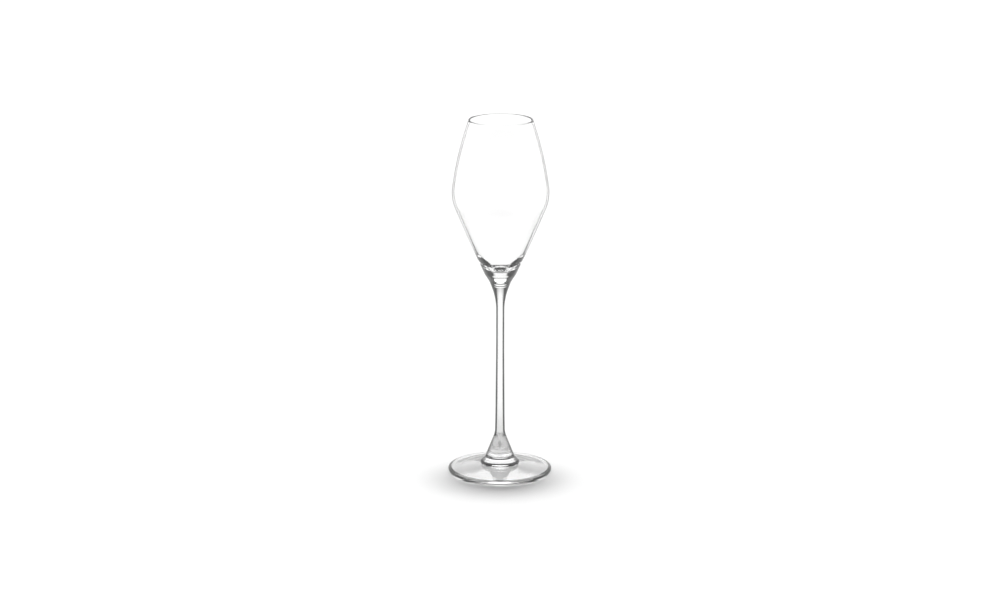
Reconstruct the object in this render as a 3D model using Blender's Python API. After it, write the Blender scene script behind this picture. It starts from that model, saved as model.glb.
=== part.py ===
"""A stemmed champagne flute with a double-cone bowl, modelled as its three glass pieces.

Each piece is a body turned about the vertical axis: a blown bowl with a thick solid base, a drawn
stem that flares into a solid cone, and a pressed foot with a hollow underside. The pieces of a real
flute are fused hot and nothing moves. Metres, +Z up, origin at the centre of the resting plane.
"""

import math

import bmesh
import bpy
from mathutils import Vector

MM = 0.001

# Heights above the resting plane
TOTAL_HEIGHT = 250.0 * MM
BOWL_JOINT_Z = 134.3 * MM
FOOT_JOINT_Z = 6.4 * MM

# Gap that stands for each fused joint
FUSED_GAP = 0.3 * MM

# Bowl, outside
RIM_RADIUS = 22.2 * MM
RIM_WALL = 1.1 * MM
UPPER_CORNER = (30.25 * MM, 225.0 * MM, 240.0 * MM)
SHOULDER_CORNER = (34.25 * MM, 195.3 * MM, 29.0 * MM)
CONE_SWELL = (20.4 * MM, 162.8 * MM, 600.0 * MM)
BASE_CORNER = (10.9 * MM, 142.0 * MM, 7.0 * MM)
BASE_HOLLOW = (7.8 * MM, 137.2 * MM, 5.0 * MM)
BOWL_JOINT_RADIUS = 6.6 * MM

# Bowl, inside
INNER_UPPER_CORNER = (29.3 * MM, 225.0 * MM, 240.0 * MM)
INNER_SHOULDER_CORNER = (33.2 * MM, 195.6 * MM, 28.0 * MM)
INNER_CONE_CORNER = (20.0 * MM, 165.5 * MM, 60.0 * MM)
INNER_LOWER_CORNER = (16.6 * MM, 158.0 * MM, 20.0 * MM)
INNER_BASE_CORNER = (13.0 * MM, 152.0 * MM, 20.0 * MM)
INNER_BOTTOM_CORNER = (6.0 * MM, 145.4 * MM, 12.0 * MM)
INNER_BOTTOM_Z = 145.3 * MM

# Stem
NECK_CORNER = (2.85 * MM, 124.8 * MM, 45.0 * MM)
SLIM_POINT = (2.85 * MM, 88.0 * MM, 500.0 * MM)
THICK_POINT = (3.25 * MM, 40.0 * MM, 200.0 * MM)
FLARE_CORNER = (3.5 * MM, 28.2 * MM, 14.0 * MM)
CONE_CORNER = (10.3 * MM, 11.3 * MM, 4.0 * MM)
LIP_CORNER = (14.2 * MM, 7.5 * MM, 1.0 * MM)
FOOT_JOINT_RADIUS = 12.6 * MM

# Foot
FOOT_TOP_RADIUS = 13.2 * MM
FOOT_TOP_CORNER = (20.0 * MM, 5.5 * MM, 80.0 * MM)
FOOT_EDGE_TOP = (33.6 * MM, 3.9 * MM, 2.5 * MM)
FOOT_EDGE_OUTER = (36.0 * MM, 3.3 * MM, 1.0 * MM)
FOOT_EDGE_LOWER = (36.0 * MM, 1.9 * MM, 1.5 * MM)
FOOT_EDGE_BOTTOM = (34.8 * MM, 0.0, 0.9 * MM)
RESTING_RING_INNER = 31.5 * MM
HOLLOW_EDGE = (26.0 * MM, 0.95 * MM, 20.0 * MM)
HOLLOW_ROOF_EDGE = (12.0 * MM, 3.0 * MM, 20.0 * MM)
HOLLOW_TOP_Z = 3.3 * MM

# How far a flat facet may lie inside the true curve
FACET_TOLERANCE = 0.05 * MM
BEAD_STEPS = 6


def clear_scene():
    for obj in list(bpy.data.objects):
        bpy.data.objects.remove(obj)


def facet_angle(radius):
    """The largest angle that one straight facet may span on an arc of this radius."""
    return 2 * math.acos(1 - FACET_TOLERANCE / radius)


def rounded(corners):
    """Points (radius, z) of an outline whose inner corners (radius, z, rounding) become arcs."""
    points = [Vector(corners[0][:2])]
    for before, corner, after in zip(corners, corners[1:], corners[2:]):
        tip = Vector(corner[:2])
        back = (Vector(before[:2]) - tip).normalized()
        ahead = (Vector(after[:2]) - tip).normalized()
        if len(corner) < 3:
            points.append(tip)
            continue
        rounding = corner[2]
        turn = math.pi - back.angle(ahead)
        centre = tip + (back + ahead).normalized() * rounding / math.cos(turn / 2)
        reach = rounding * math.tan(turn / 2)
        spoke = tip + back * reach - centre
        sweep = spoke.angle_signed(tip + ahead * reach - centre)
        steps = math.ceil(turn / facet_angle(rounding))
        for step in range(steps + 1):
            angle = -sweep * step / steps
            turned = Vector(
                (
                    spoke.x * math.cos(angle) - spoke.y * math.sin(angle),
                    spoke.x * math.sin(angle) + spoke.y * math.cos(angle),
                )
            )
            points.append(centre + turned)
    points.append(Vector(corners[-1][:2]))
    return points


def turned_body(name, outline, material):
    """A closed solid turned about Z from an outline that starts and ends on the axis."""
    widest = max(point.x for point in outline)
    bm = bmesh.new()
    verts = [bm.verts.new((point.x, 0.0, point.y)) for point in outline]
    edges = [bm.edges.new(pair) for pair in zip(verts, verts[1:])]
    bmesh.ops.spin(
        bm,
        geom=verts + edges,
        cent=(0.0, 0.0, 0.0),
        axis=(0.0, 0.0, 1.0),
        angle=2 * math.pi,
        steps=math.ceil(2 * math.pi / facet_angle(widest)),
        use_merge=True,
    )
    bmesh.ops.remove_doubles(bm, verts=bm.verts, dist=1e-6)
    bmesh.ops.recalc_face_normals(bm, faces=bm.faces)
    if bm.calc_volume(signed=True) < 0:
        bmesh.ops.reverse_faces(bm, faces=bm.faces)
    mesh = bpy.data.meshes.new(name)
    bm.to_mesh(mesh)
    bm.free()
    mesh.shade_smooth()
    mesh.set_sharp_from_angle(angle=math.radians(40.0))
    mesh.materials.append(material)
    obj = bpy.data.objects.new(name, mesh)
    bpy.context.scene.collection.objects.link(obj)
    return obj


def glass_material(name, colour, roughness):
    material = bpy.data.materials.new(name)
    material.use_nodes = True
    shader = material.node_tree.nodes["Principled BSDF"]
    shader.inputs["Base Color"].default_value = (*colour, 1.0)
    shader.inputs["Roughness"].default_value = roughness
    shader.inputs["Metallic"].default_value = 0.0
    shader.inputs["IOR"].default_value = 1.52
    shader.inputs["Transmission Weight"].default_value = 1.0
    return material


def rim_bead():
    """The half-round lip between the outer and the inner wall, outer side first."""
    centre = RIM_RADIUS - RIM_WALL / 2
    half = RIM_WALL / 2
    bead = []
    for step in range(BEAD_STEPS + 1):
        angle = math.pi * step / BEAD_STEPS
        height = TOTAL_HEIGHT - half + half * math.sin(angle)
        bead.append(Vector((centre + half * math.cos(angle), height)))
    return bead


def make_bowl():
    base_z = BOWL_JOINT_Z + FUSED_GAP / 2
    rim_z = TOTAL_HEIGHT - RIM_WALL / 2
    outside = rounded(
        [
            (0.0, base_z),
            (BOWL_JOINT_RADIUS, base_z),
            BASE_HOLLOW,
            BASE_CORNER,
            CONE_SWELL,
            SHOULDER_CORNER,
            UPPER_CORNER,
            (RIM_RADIUS, rim_z),
        ]
    )
    inside = rounded(
        [
            (RIM_RADIUS - RIM_WALL, rim_z),
            INNER_UPPER_CORNER,
            INNER_SHOULDER_CORNER,
            INNER_CONE_CORNER,
            INNER_LOWER_CORNER,
            INNER_BASE_CORNER,
            INNER_BOTTOM_CORNER,
            (0.0, INNER_BOTTOM_Z),
        ]
    )
    outline = outside[:-1] + rim_bead() + inside[1:]
    return turned_body("bowl", outline, glass_material("bowl_glass", (0.98, 0.99, 0.985), 0.02))


def make_stem():
    top_z = BOWL_JOINT_Z - FUSED_GAP / 2
    foot_z = FOOT_JOINT_Z + FUSED_GAP / 2
    outline = rounded(
        [
            (0.0, foot_z),
            (FOOT_JOINT_RADIUS, foot_z),
            LIP_CORNER,
            CONE_CORNER,
            FLARE_CORNER,
            THICK_POINT,
            SLIM_POINT,
            NECK_CORNER,
            (BOWL_JOINT_RADIUS, top_z),
            (0.0, top_z),
        ]
    )
    return turned_body("stem", outline, glass_material("stem_glass", (0.97, 0.98, 0.975), 0.03))


def make_foot():
    top_z = FOOT_JOINT_Z - FUSED_GAP / 2
    outline = rounded(
        [
            (0.0, HOLLOW_TOP_Z),
            HOLLOW_ROOF_EDGE,
            HOLLOW_EDGE,
            (RESTING_RING_INNER, 0.0),
            FOOT_EDGE_BOTTOM,
            FOOT_EDGE_LOWER,
            FOOT_EDGE_OUTER,
            FOOT_EDGE_TOP,
            FOOT_TOP_CORNER,
            (FOOT_TOP_RADIUS, top_z),
            (0.0, top_z),
        ]
    )
    return turned_body("foot", outline, glass_material("foot_glass", (0.98, 0.985, 0.985), 0.04))


clear_scene()
make_bowl()
make_stem()
make_foot()
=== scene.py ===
"""The looks of a stemmed champagne flute: three clear glass pieces in a bright studio.

The bowl, the stem and the foot are turned again here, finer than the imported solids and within
their box, with the fused joints closed, the rings that the glassmaker's tool left on the cone, and
fire-polished edges. Everything is in metres, +Z up.
"""

import math

import bmesh
import bpy
from mathutils import Matrix, Vector


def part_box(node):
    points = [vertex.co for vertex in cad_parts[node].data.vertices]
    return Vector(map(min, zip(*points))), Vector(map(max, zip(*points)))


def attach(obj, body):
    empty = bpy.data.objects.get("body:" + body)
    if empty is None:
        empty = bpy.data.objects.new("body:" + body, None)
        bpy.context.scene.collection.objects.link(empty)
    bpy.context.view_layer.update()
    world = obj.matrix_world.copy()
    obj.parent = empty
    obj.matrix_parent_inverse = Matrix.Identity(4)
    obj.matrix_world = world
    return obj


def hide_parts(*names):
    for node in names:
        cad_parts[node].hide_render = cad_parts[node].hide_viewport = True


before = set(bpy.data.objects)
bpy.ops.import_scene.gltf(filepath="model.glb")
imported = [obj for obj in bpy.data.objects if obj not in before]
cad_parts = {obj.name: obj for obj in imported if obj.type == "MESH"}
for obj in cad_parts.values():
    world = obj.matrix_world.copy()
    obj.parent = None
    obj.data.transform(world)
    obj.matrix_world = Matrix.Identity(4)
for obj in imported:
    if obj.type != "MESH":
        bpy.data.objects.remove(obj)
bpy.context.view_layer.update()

MM = 0.001

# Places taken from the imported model
BOWL_LOW, BOWL_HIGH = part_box("bowl")
STEM_LOW, STEM_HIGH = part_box("stem")
_, FOOT_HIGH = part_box("foot")
RIM_TOP = BOWL_HIGH.z
BOWL_RADIUS = BOWL_HIGH.x
FOOT_RADIUS = FOOT_HIGH.x
BOWL_JOINT = (BOWL_LOW.z + STEM_HIGH.z) / 2
FOOT_JOINT = (STEM_LOW.z + FOOT_HIGH.z) / 2

# A corner of an outline is (radius, z) or (radius, z, rounding)
# Bowl, outside
BOWL_JOINT_RADIUS = 6.6 * MM
BASE_HOLLOW = (7.8 * MM, BOWL_JOINT + 2.9 * MM, 5.0 * MM)
BASE_CORNER = (10.9 * MM, BOWL_JOINT + 7.7 * MM, 7.0 * MM)
CONE_SWELL = (20.4 * MM, BOWL_JOINT + 28.5 * MM, 600.0 * MM)
SHOULDER_CORNER = (BOWL_RADIUS + 0.85 * MM, BOWL_JOINT + 61.0 * MM, 29.0 * MM)
UPPER_CORNER = (30.25 * MM, RIM_TOP - 25.0 * MM, 240.0 * MM)
RIM_RADIUS = 22.2 * MM
RIM_WALL = 1.1 * MM
BEAD_Z = RIM_TOP - RIM_WALL / 2

# Bowl, inside
INNER_UPPER_CORNER = (29.3 * MM, RIM_TOP - 25.0 * MM, 240.0 * MM)
INNER_SHOULDER_CORNER = (33.2 * MM, BOWL_JOINT + 61.3 * MM, 28.0 * MM)
INNER_CONE_CORNER = (20.0 * MM, BOWL_JOINT + 31.2 * MM, 60.0 * MM)
INNER_LOWER_CORNER = (16.6 * MM, BOWL_JOINT + 23.7 * MM, 20.0 * MM)
INNER_BASE_CORNER = (13.0 * MM, BOWL_JOINT + 17.7 * MM, 20.0 * MM)
INNER_BOTTOM_CORNER = (6.0 * MM, BOWL_JOINT + 11.1 * MM, 12.0 * MM)
INNER_BOTTOM = (0.0, BOWL_JOINT + 11.0 * MM)

# Stem
FOOT_JOINT_RADIUS = 12.6 * MM
LIP_CORNER = (14.2 * MM, FOOT_JOINT + 1.1 * MM, 1.0 * MM)
CONE_CORNER = (10.3 * MM, FOOT_JOINT + 4.9 * MM, 4.0 * MM)
FLARE_CORNER = (3.5 * MM, FOOT_JOINT + 21.8 * MM, 14.0 * MM)
THICK_POINT = (3.25 * MM, 40.0 * MM, 200.0 * MM)
SLIM_POINT = (2.85 * MM, 88.0 * MM, 500.0 * MM)
NECK_CORNER = (2.85 * MM, BOWL_JOINT - 9.5 * MM, 45.0 * MM)

# Foot
FOOT_TOP_RADIUS = 13.2 * MM
FOOT_TOP_CORNER = (20.0 * MM, FOOT_JOINT - 0.9 * MM, 80.0 * MM)
FOOT_EDGE_TOP = (FOOT_RADIUS - 2.4 * MM, 3.9 * MM, 2.5 * MM)
FOOT_EDGE_OUTER = (FOOT_RADIUS, 3.3 * MM, 1.0 * MM)
FOOT_EDGE_LOWER = (FOOT_RADIUS, 1.9 * MM, 1.5 * MM)
FOOT_EDGE_BOTTOM = (FOOT_RADIUS - 1.2 * MM, 0.0, 0.9 * MM)
RESTING_RING_INNER = 31.5 * MM
RESTING_RING_ROUNDING = 2.0 * MM
HOLLOW_EDGE = (26.0 * MM, 0.95 * MM, 20.0 * MM)
HOLLOW_ROOF_EDGE = (12.0 * MM, 3.0 * MM, 20.0 * MM)
HOLLOW_TOP = (0.0, 3.3 * MM)

# Grooves of revolution: (height, depth, half width)
BOWL_SEAM = (BOWL_JOINT, 0.25 * MM, 0.35 * MM)
COLLAR_RING = (BOWL_JOINT + 1.7 * MM, 0.15 * MM, 0.4 * MM)
TOOL_RINGS = [(FOOT_JOINT + height * MM, 0.05 * MM, 0.3 * MM) for height in (3.4, 4.9, 6.6)]
GROOVE_REACH = 1.2 * MM

# Fineness of the turned meshes
AROUND = 256
ARC_STEP = math.radians(1.5)
BEAD_STEPS = 12
ALONG = 1.0 * MM
ALONG_GROOVE = 0.08 * MM
SMALLEST = 0.001 * MM
SHARP_ANGLE = math.radians(40.0)

# Glass
CRYSTAL_IOR = 1.52
BLOWN_STRIAE = (40.0, 40.0, 6.0)
DRAWN_STRIAE = (90.0, 90.0, 5.0)
BUMP_HEIGHT = 0.01 * MM
ROUGHEST = 0.012
BAND_LEAN = 7.0 * MM


def rounded(corners):
    """Points (radius, z) of an outline whose inner corners (radius, z, rounding) become arcs."""
    points = [Vector(corners[0][:2])]
    for before, corner, after in zip(corners, corners[1:], corners[2:]):
        tip = Vector(corner[:2])
        if len(corner) < 3:
            points.append(tip)
            continue
        rounding = corner[2]
        back = (Vector(before[:2]) - tip).normalized()
        ahead = (Vector(after[:2]) - tip).normalized()
        turn = math.pi - back.angle(ahead)
        centre = tip + (back + ahead).normalized() * rounding / math.cos(turn / 2)
        reach = rounding * math.tan(turn / 2)
        spoke = tip + back * reach - centre
        sweep = spoke.angle_signed(tip + ahead * reach - centre)
        steps = max(2, math.ceil(turn / ARC_STEP))
        for step in range(steps + 1):
            points.append(centre + Matrix.Rotation(-sweep * step / steps, 2) @ spoke)
    points.append(Vector(corners[-1][:2]))
    return points


def split(start, end, longest):
    """Points from start up to, but not including, end, no further apart than the longest step."""
    steps = max(1, math.ceil((end - start).length / longest))
    return [start.lerp(end, step / steps) for step in range(steps)]


def grooved(outline, grooves):
    """The outline with shallow grooves turned into it."""

    def near(low, high):
        return any(low.y - GROOVE_REACH < h < high.y + GROOVE_REACH for h, _, _ in grooves)

    points = []
    for start, end in zip(outline, outline[1:]):
        cuts = [*split(start, end, ALONG), end] if near(start, end) else [start, end]
        for low, high in zip(cuts, cuts[1:]):
            points += split(low, high, ALONG_GROOVE) if near(low, high) else [low]
    points.append(outline[-1])
    cut = []
    for point in points:
        depth = sum(d * math.exp(-(((point.y - h) / w) ** 2)) for h, d, w in grooves)
        cut.append(Vector((point.x - depth, point.y)))
    return cut


def bead(radius, height, half):
    """A half-round lip over a wall, outer side first."""
    turns = [math.pi * step / BEAD_STEPS for step in range(BEAD_STEPS + 1)]
    return [Vector((radius + half * math.cos(a), height + half * math.sin(a))) for a in turns]


def turned_piece(name, stretches):
    """A closed body turned about Z, made of stretches of its outline, which follow one another.
    A stretch is (points, material)."""
    mesh = bpy.data.meshes.new(name)
    materials = []
    bm = bmesh.new()
    ring = None
    for points, material in stretches:
        if material not in materials:
            materials.append(material)
        slot = materials.index(material)
        for point in points:
            last, ring = ring, ring_of(bm, point)
            if last is not None:
                bridge(bm, last, ring, slot)
    bmesh.ops.remove_doubles(bm, verts=bm.verts, dist=SMALLEST)
    bmesh.ops.recalc_face_normals(bm, faces=bm.faces)
    if bm.calc_volume(signed=True) < 0:
        bmesh.ops.reverse_faces(bm, faces=bm.faces)
    bm.to_mesh(mesh)
    bm.free()
    mesh.shade_smooth()
    mesh.set_sharp_from_angle(angle=SHARP_ANGLE)
    for material in materials:
        mesh.materials.append(material)
    return place_object(name, mesh)


def ring_of(bm, point):
    """The vertices at one point of an outline: a circle, or a single vertex on the axis."""
    if point.x < SMALLEST:
        return [bm.verts.new((0.0, 0.0, point.y))]
    turns = [2 * math.pi * step / AROUND for step in range(AROUND)]
    return [bm.verts.new((point.x * math.cos(a), point.x * math.sin(a), point.y)) for a in turns]


def bridge(bm, low, high, slot):
    """Faces between two neighbouring rings of an outline."""
    for step in range(AROUND):
        after = (step + 1) % AROUND
        if len(low) == 1:
            corners = (low[0], high[after], high[step])
        elif len(high) == 1:
            corners = (low[step], low[after], high[0])
        else:
            corners = (low[step], low[after], high[after], high[step])
        bm.faces.new(corners).material_index = slot


def place_object(name, data):
    """An object in the scene that shows a mesh, or a camera."""
    obj = bpy.data.objects.new(name, data)
    bpy.context.scene.collection.objects.link(obj)
    return obj


def new_material(name):
    """A material with its node tree and its shader."""
    material = bpy.data.materials.new(name)
    material.use_nodes = True
    tree = material.node_tree
    return material, tree, tree.nodes["Principled BSDF"]


def add(tree, kind, **settings):
    """A new node with these properties."""
    node = tree.nodes.new(kind)
    for key, value in settings.items():
        setattr(node, key, value)
    return node


def set_inputs(node, **values):
    """Set a node's inputs to constants. A space in an input's name is written as _."""
    for key, value in values.items():
        node.inputs[key.replace("_", " ")].default_value = value


def calculate(tree, operation, *terms):
    """The result of a Math node whose terms are numbers or other nodes' outputs."""
    node = add(tree, "ShaderNodeMath", operation=operation)
    for socket, term in zip(node.inputs, terms):
        if isinstance(term, bpy.types.NodeSocket):
            tree.links.new(term, socket)
        else:
            socket.default_value = term
    return node.outputs["Value"]


def rescale(tree, value, lowest, highest, low=0.0, high=1.0, shape="LINEAR"):
    """The value, rescaled so that lowest becomes low and highest becomes high."""
    node = add(tree, "ShaderNodeMapRange", interpolation_type=shape)
    set_inputs(node, From_Min=lowest, From_Max=highest, To_Min=low, To_Max=high)
    tree.links.new(value, node.inputs["Value"])
    return node.outputs["Result"]


def graded(tree, value, stops):
    """The grey level that a ramp with (place, level) stops gives for the value."""
    node = add(tree, "ShaderNodeValToRGB")
    elements = node.color_ramp.elements
    while len(elements) < len(stops):
        elements.new(0.5)
    for element, (place, level) in zip(elements, stops):
        element.position = place
        element.color = (level, level, level, 1.0)
    tree.links.new(value, node.inputs["Fac"])
    return node.outputs["Color"]


def height_of(tree, place):
    """The height of a place, given as a vector."""
    node = add(tree, "ShaderNodeSeparateXYZ")
    tree.links.new(place, node.inputs["Vector"])
    return node.outputs["Z"]


def glass(name, edge_from, edge_to, edge_shade, striae=BLOWN_STRIAE, bands=None, grey=None):
    """Clear crystal with painted shade: the base colour darkens where the surface turns away from
    the view, a painted stand-in for the dark outline that solid glass shows against a bright
    background.
    edge_from and edge_to are the facing values between which it darkens to edge_shade. bands moves
    edge_from with height: its lowest and highest place, and (share of that height, facing) stops.
    grey
    paints shade across the whole width: its amount, the height up to which it is strongest, and the
    height where it ends."""
    material, tree, shader = new_material(name)
    set_inputs(shader, Transmission_Weight=1.0, IOR=CRYSTAL_IOR, Metallic=0.0)
    place = add(tree, "ShaderNodeTexCoord").outputs["Object"]
    facing = add(tree, "ShaderNodeLayerWeight")
    set_inputs(facing, Blend=0.5)
    turned_away = facing.outputs["Facing"]
    if bands:
        turned_away = banded(tree, place, turned_away, edge_from, bands)
    darkness = rescale(tree, turned_away, edge_from, edge_to, shape="SMOOTHSTEP")
    if grey:
        most, lowest, highest = grey
        shade = rescale(tree, height_of(tree, place), lowest, highest, most, 0.0, "SMOOTHSTEP")
        darkness = calculate(tree, "MAXIMUM", darkness, shade)
    # The painted shade darkens only the surfaces where a ray enters the glass.
    leaving = add(tree, "ShaderNodeNewGeometry").outputs["Backfacing"]
    entering = calculate(tree, "SUBTRACT", 1.0, leaving)
    colour = add(tree, "ShaderNodeMix", data_type="RGBA")
    set_inputs(colour, A=(1.0, 1.0, 1.0, 1.0), B=(edge_shade, edge_shade, edge_shade, 1.0))
    tree.links.new(calculate(tree, "MULTIPLY", darkness, entering), colour.inputs["Factor"])
    tree.links.new(colour.outputs["Result"], shader.inputs["Base Color"])
    add_striae(tree, shader, place, striae)
    return material


def banded(tree, place, turned_away, edge_from, bands):
    """The facing value, shifted so that a threshold of edge_from acts as the one that the bands
    give at this height. Towards the outline the bands lean upwards."""
    lowest, highest, stops = bands
    leaning = calculate(tree, "MULTIPLY_ADD", turned_away, -BAND_LEAN, height_of(tree, place))
    drop = BAND_LEAN * edge_from
    start = graded(tree, rescale(tree, leaning, lowest - drop, highest - drop), stops)
    return calculate(tree, "ADD", calculate(tree, "SUBTRACT", turned_away, start), edge_from)


def add_striae(tree, shader, place, striae):
    """The cords that drawing and blowing leave in glass, as slight bumps and uneven polish."""
    stretch = add(tree, "ShaderNodeMapping")
    set_inputs(stretch, Scale=striae)
    tree.links.new(place, stretch.inputs["Vector"])
    noise = add(tree, "ShaderNodeTexNoise")
    set_inputs(noise, Scale=1.0, Detail=2.0, Roughness=0.4)
    tree.links.new(stretch.outputs["Vector"], noise.inputs["Vector"])
    cords = noise.outputs["Fac"]
    bump = add(tree, "ShaderNodeBump")
    set_inputs(bump, Strength=1.0, Distance=BUMP_HEIGHT)
    tree.links.new(cords, bump.inputs["Height"])
    tree.links.new(bump.outputs["Normal"], shader.inputs["Normal"])
    tree.links.new(rescale(tree, cords, 0.3, 0.7, 0.0, ROUGHEST), shader.inputs["Roughness"])


def fused_glass():
    """The boundary inside a fused joint: the glass goes on, so light passes straight through."""
    material, tree, shader = new_material("fused_joint")
    tree.nodes.remove(shader)
    clear = add(tree, "ShaderNodeBsdfTransparent")
    tree.links.new(clear.outputs["BSDF"], tree.nodes["Material Output"].inputs["Surface"])
    return material


def base_glass(base_height):
    """The thick base, its refracted look partly painted: painted shade gives dark masses either side
    of a clear window over the stem and a dark wedge on each side of the rounded bottom of the
    cavity, and leaves a bright crescent above the window unpainted."""
    # Heights in mm above the joint and the facing at which painted shade starts; 1.0 paints none.
    window = [(0.0, 0.23), (2.0, 0.23), (3.5, 0.345), (6.5, 0.345), (8.5, 0.25), (10.8, 0.24)]
    crescent = [(12.0, 1.0), (13.7, 1.0)]
    wedge = [(14.7, 0.24), (17.0, 0.255), (19.2, 0.315), (20.3, 0.40), (21.0, 1.0)]
    stops = [(height * MM / base_height, start) for height, start in window + crescent + wedge]
    bands = (BOWL_JOINT, BOWL_JOINT + base_height, stops)
    return glass("bowl_base_glass", 0.24, 0.30, 0.004, bands=bands)


def make_bowl(fused):
    base_height = 26.0 * MM
    base = base_glass(base_height)
    # Painted shade: the wall and the rim bead darken towards their outline.
    wall = glass("bowl_wall_glass", 0.74, 0.83, 0.0)
    rim = glass("rim_glass", 0.9, 1.0, 0.7)
    outside = rounded(
        [
            (BOWL_JOINT_RADIUS, BOWL_JOINT),
            BASE_HOLLOW,
            BASE_CORNER,
            CONE_SWELL,
            SHOULDER_CORNER,
            UPPER_CORNER,
            (RIM_RADIUS, BEAD_Z),
        ]
    )
    inside = rounded(
        [
            (RIM_RADIUS - RIM_WALL, BEAD_Z),
            INNER_UPPER_CORNER,
            INNER_SHOULDER_CORNER,
            INNER_CONE_CORNER,
            INNER_LOWER_CORNER,
            INNER_BASE_CORNER,
            INNER_BOTTOM_CORNER,
            INNER_BOTTOM,
        ]
    )
    outline = grooved(outside, [BOWL_SEAM, COLLAR_RING])
    thick = [point for point in outline if point.y < BOWL_JOINT + base_height]
    thin = outline[len(thick) - 1:]
    return turned_piece(
        "flute_bowl",
        [
            ([Vector((0.0, BOWL_JOINT)), outline[0]], fused),
            (thick, base),
            (thin, wall),
            (bead(RIM_RADIUS - RIM_WALL / 2, BEAD_Z, RIM_WALL / 2), rim),
            (inside, wall),
        ],
    )


def make_stem(fused):
    lip_top = FOOT_JOINT + 2.6 * MM
    cone_top = FOOT_JOINT + 20.0 * MM
    # Painted shade: the shaft greys across its whole width, most at the cone and gone 65 mm above
    # the foot joint, and the shaft, cone and lip darken towards their outlines.
    grey = (0.50, cone_top, FOOT_JOINT + 65.0 * MM)
    shaft = glass("stem_shaft_glass", 0.08, 0.30, 0.004, striae=DRAWN_STRIAE, grey=grey)
    cone = glass("stem_cone_glass", 0.22, 0.60, 0.02)
    lip = glass("stem_lip_glass", 0.03, 0.12, 0.002)
    outline = rounded(
        [
            (FOOT_JOINT_RADIUS, FOOT_JOINT),
            LIP_CORNER,
            CONE_CORNER,
            FLARE_CORNER,
            THICK_POINT,
            SLIM_POINT,
            NECK_CORNER,
            (BOWL_JOINT_RADIUS, BOWL_JOINT),
        ]
    )
    outline = grooved(outline, [*TOOL_RINGS, BOWL_SEAM])
    lowest = [point for point in outline if point.y < lip_top]
    flared = [point for point in outline if point.y < cone_top][len(lowest) - 1:]
    slim = outline[len(lowest) + len(flared) - 2:]
    return turned_piece(
        "flute_stem",
        [
            ([Vector((0.0, FOOT_JOINT)), outline[0]], fused),
            (lowest, lip),
            (flared, cone),
            (slim, shaft),
            ([outline[-1], Vector((0.0, BOWL_JOINT))], fused),
        ],
    )


def make_foot(fused):
    # Painted shade: the disc darkens slightly at grazing view and the round edge darkens into a dark
    # rim towards the sides.
    disc = glass("foot_disc_glass", 0.9, 1.0, 0.8)
    edge = glass("foot_edge_glass", 0.06, 0.30, 0.03)
    upper = rounded(
        [
            (FOOT_TOP_RADIUS, FOOT_JOINT),
            FOOT_TOP_CORNER,
            FOOT_EDGE_TOP,
            FOOT_EDGE_OUTER,
            FOOT_EDGE_LOWER,
            FOOT_EDGE_BOTTOM,
            (RESTING_RING_INNER, 0.0),
        ]
    )
    edge_starts = FOOT_RADIUS - 2.0 * MM
    edge_middle = 2.0 * MM
    edge_ends = 1.2 * MM
    top = [point for point in upper if point.x < edge_starts and point.y > edge_middle]
    round_edge = [point for point in upper if point.y > edge_ends][len(top) - 1:]
    lower_edge = upper[len(top) + len(round_edge) - 2:-1]
    under = rounded(
        [
            upper[-2],
            (RESTING_RING_INNER, 0.0, RESTING_RING_ROUNDING),
            HOLLOW_EDGE,
            HOLLOW_ROOF_EDGE,
            HOLLOW_TOP,
        ]
    )
    return turned_piece(
        "flute_foot",
        [
            ([Vector((0.0, FOOT_JOINT)), upper[0]], fused),
            (top, disc),
            (round_edge, edge),
            (lower_edge + under, disc),
        ],
    )


def place_pieces():
    fused = fused_glass()
    for make, node, slot in (
        (make_bowl, "bowl", "bowl_glass"),
        (make_stem, "stem", "stem_glass"),
        (make_foot, "foot", "foot_glass"),
    ):
        piece = make(fused)
        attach(piece, "root")
        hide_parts(node)


def flat_mesh(name, material, operator, **shape):
    """A flat mesh made by one bmesh operator."""
    mesh = bpy.data.meshes.new(name)
    bm = bmesh.new()
    operator(bm, **shape)
    bm.to_mesh(mesh)
    bm.free()
    mesh.materials.append(material)
    return mesh


def make_floor():
    material, tree, shader = new_material("floor_paper")
    set_inputs(shader, Base_Color=(0.73, 0.73, 0.73, 1.0), Roughness=1.0, Specular_IOR_Level=0.0)
    # The floor is painted dark where light reflected inside the glass meets it, a painted
    # reflection.
    paint_floor_dark_in_reflections(tree, shader)
    grid = {"x_segments": 8, "y_segments": 8, "size": 20.0}
    floor = place_object("floor", flat_mesh("floor", material, bmesh.ops.create_grid, **grid))


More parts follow.
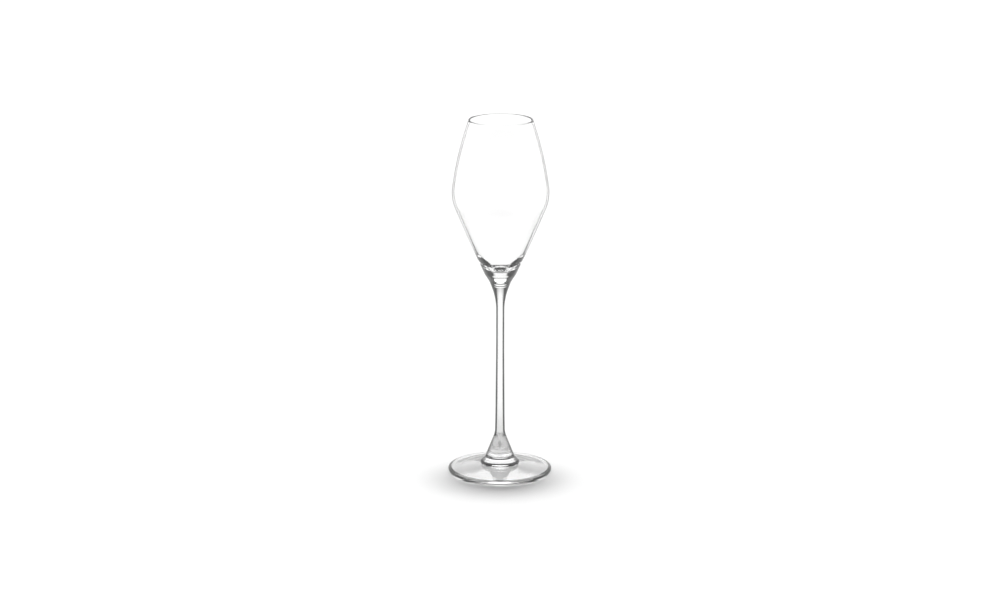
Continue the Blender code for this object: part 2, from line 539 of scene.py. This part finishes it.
def paint_floor_dark_in_reflections(tree, shader):
    """Two rings of floor around the foot are painted dark for light that was reflected inside the
    glass:
    a painted reflection of the unlit room around a real light table, made by a faint dark emission.
    Seen directly or straight through the glass the floor stays white."""
    farthest = 400.0 * MM
    inner_ring = [(0, 0), (25, 0), (35, 1), (90, 1), (105, 0)]
    outer_ring = [(130, 0), (170, 1), (300, 1), (400, 0)]
    path = add(tree, "ShaderNodeLightPath").outputs
    reflected = calculate(tree, "GREATER_THAN", path["Glossy Depth"], 0.5)
    inside = calculate(tree, "GREATER_THAN", path["Transmission Depth"], 0.5)
    sharp = calculate(tree, "LESS_THAN", path["Diffuse Depth"], 0.5)
    distance = add(tree, "ShaderNodeVectorMath", operation="LENGTH")
    position = add(tree, "ShaderNodeNewGeometry").outputs["Position"]
    tree.links.new(position, distance.inputs[0])
    outwards = rescale(tree, distance.outputs["Value"], 0.0, farthest)
    stops = [(place * MM / farthest, level) for place, level in inner_ring + outer_ring]
    darkness = graded(tree, outwards, stops)
    for condition in (reflected, inside, sharp):
        darkness = calculate(tree, "MULTIPLY", darkness, condition)
    # The painted dark reflection: a faint emission that takes the place of the white floor.
    dark = add(tree, "ShaderNodeEmission")
    set_inputs(dark, Color=(0.04, 0.04, 0.04, 1.0))
    blend = add(tree, "ShaderNodeMixShader")
    tree.links.new(darkness, blend.inputs["Fac"])
    tree.links.new(shader.outputs["BSDF"], blend.inputs[1])
    tree.links.new(dark.outputs["Emission"], blend.inputs[2])
    tree.links.new(blend.outputs["Shader"], tree.nodes["Material Output"].inputs["Surface"])


def hang_flag():
    """A black studio flag, seen by nothing but the light that reaches the floor: it deepens the soft
    shadow around the foot, which clear glass alone leaves too faint."""
    material, _, shader = new_material("flag_black")
    set_inputs(shader, Base_Color=(0.0, 0.0, 0.0, 1.0), Roughness=1.0, Specular_IOR_Level=0.0)
    disc = {"cap_ends": True, "segments": 64, "radius": 34.0 * MM}
    flag = place_object("flag", flat_mesh("flag", material, bmesh.ops.create_circle, **disc))
    flag.location = (0.0, -10.0 * MM, 27.0 * MM)
    flag.visible_camera = False
    flag.visible_glossy = False
    flag.visible_transmission = False


def light_studio():
    """A bright ring at the horizon, a dark gap above it, and a soft overhead light that is stronger
    towards the back. The ramp's levels are shares of the brightest one that it can hold."""
    horizon, gap, overhead = 1.08, 0.6, 1.80
    brightest = 8.0
    towards_back = 1.3
    bias_starts, bias_full = math.radians(27.0), math.radians(30.0)
    world = bpy.data.worlds.new("studio")
    bpy.context.scene.world = world
    world.use_nodes = True
    tree = world.node_tree
    place = add(tree, "ShaderNodeTexCoord")
    direction = add(tree, "ShaderNodeSeparateXYZ")
    tree.links.new(place.outputs["Generated"], direction.inputs["Vector"])
    upwards = direction.outputs["Z"]
    levels = [(0, horizon), (14, horizon), (26, gap), (30, gap), (34, overhead), (90, overhead)]
    stops = [(math.sin(math.radians(a)), level / brightest) for a, level in levels]
    bias = add(tree, "ShaderNodeMix", data_type="FLOAT")
    set_inputs(bias, A=1.0)
    aloft = rescale(tree, upwards, math.sin(bias_starts), math.sin(bias_full))
    tree.links.new(aloft, bias.inputs["Factor"])
    behind = calculate(tree, "MULTIPLY_ADD", direction.outputs["Y"], towards_back, 1.0)
    tree.links.new(behind, bias.inputs["B"])
    strength = calculate(tree, "MULTIPLY", bias.outputs["Result"], brightest)
    background = tree.nodes["Background"]
    tree.links.new(graded(tree, upwards, stops), background.inputs["Color"])
    tree.links.new(strength, background.inputs["Strength"])


def place_camera():
    camera = place_object("camera", bpy.data.cameras.new("camera"))
    camera.data.sensor_fit = "HORIZONTAL"
    camera.data.sensor_width = 36.0
    camera.data.lens = 111.9
    camera.data.shift_x = -0.0003
    camera.data.shift_y = -0.0004
    camera.data.clip_start = 0.01
    camera.data.clip_end = 100.0
    camera.location = (0.0, -8.30 * RIM_TOP, 2.632 * RIM_TOP)
    looking_down = math.radians(14.44)
    tilt = Matrix.Rotation(math.radians(90.0) - looking_down, 3, "X")
    roll = Matrix.Rotation(math.radians(0.17), 3, "Z")
    camera.rotation_euler = (tilt @ roll).to_euler()
    bpy.context.scene.camera = camera


def set_rendering():
    scene = bpy.context.scene
    scene.view_settings.view_transform = "Standard"
    scene.cycles.max_bounces = 24
    scene.cycles.transmission_bounces = 24
    scene.cycles.glossy_bounces = 16
    scene.cycles.transparent_max_bounces = 24


place_pieces()
make_floor()
hang_flag()
light_studio()
place_camera()
set_rendering()
